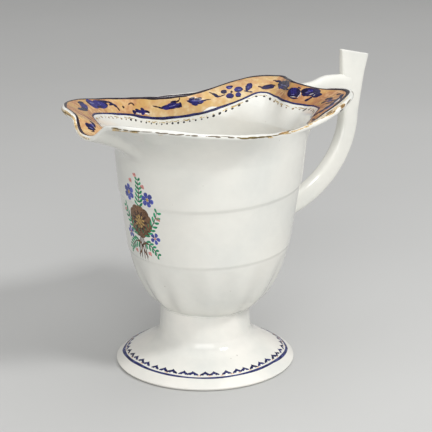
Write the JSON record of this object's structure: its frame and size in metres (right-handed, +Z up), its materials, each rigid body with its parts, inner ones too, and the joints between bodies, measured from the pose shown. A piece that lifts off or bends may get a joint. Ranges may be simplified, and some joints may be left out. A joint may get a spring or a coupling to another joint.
{
  "type": "helmet cream jug",
  "caption": "Helmet-shaped porcelain cream jug with a flared pouring brim, stepped bowl, domed pedestal foot and an upright strap handle.",
  "frame": {"origin": "centre of the bounding box on the plane the foot rests on", "axes": "+X from the beak towards the handle, +Z up, the jug alike on both sides of the XZ plane"},
  "size_m": [0.1729, 0.0982, 0.1367],
  "materials": {
    "bowl": "glossy warm white glaze with an enamelled brim band and worn gilding",
    "foot": "glossy warm white glaze with a cobalt ring",
    "handle": "glossy warm white glaze",
    "slip": "fired luting slip under the glaze"
  },
  "bodies": {
    "root": {"bowl": "bowl", "pedestal_foot": "foot", "foot_slip": "slip", "handle_strap": "handle", "handle_arm": "handle", "strap_slip": "slip", "brim_arm_slip": "slip", "strap_arm_slip": "slip"}
  },
  "joints": []
}
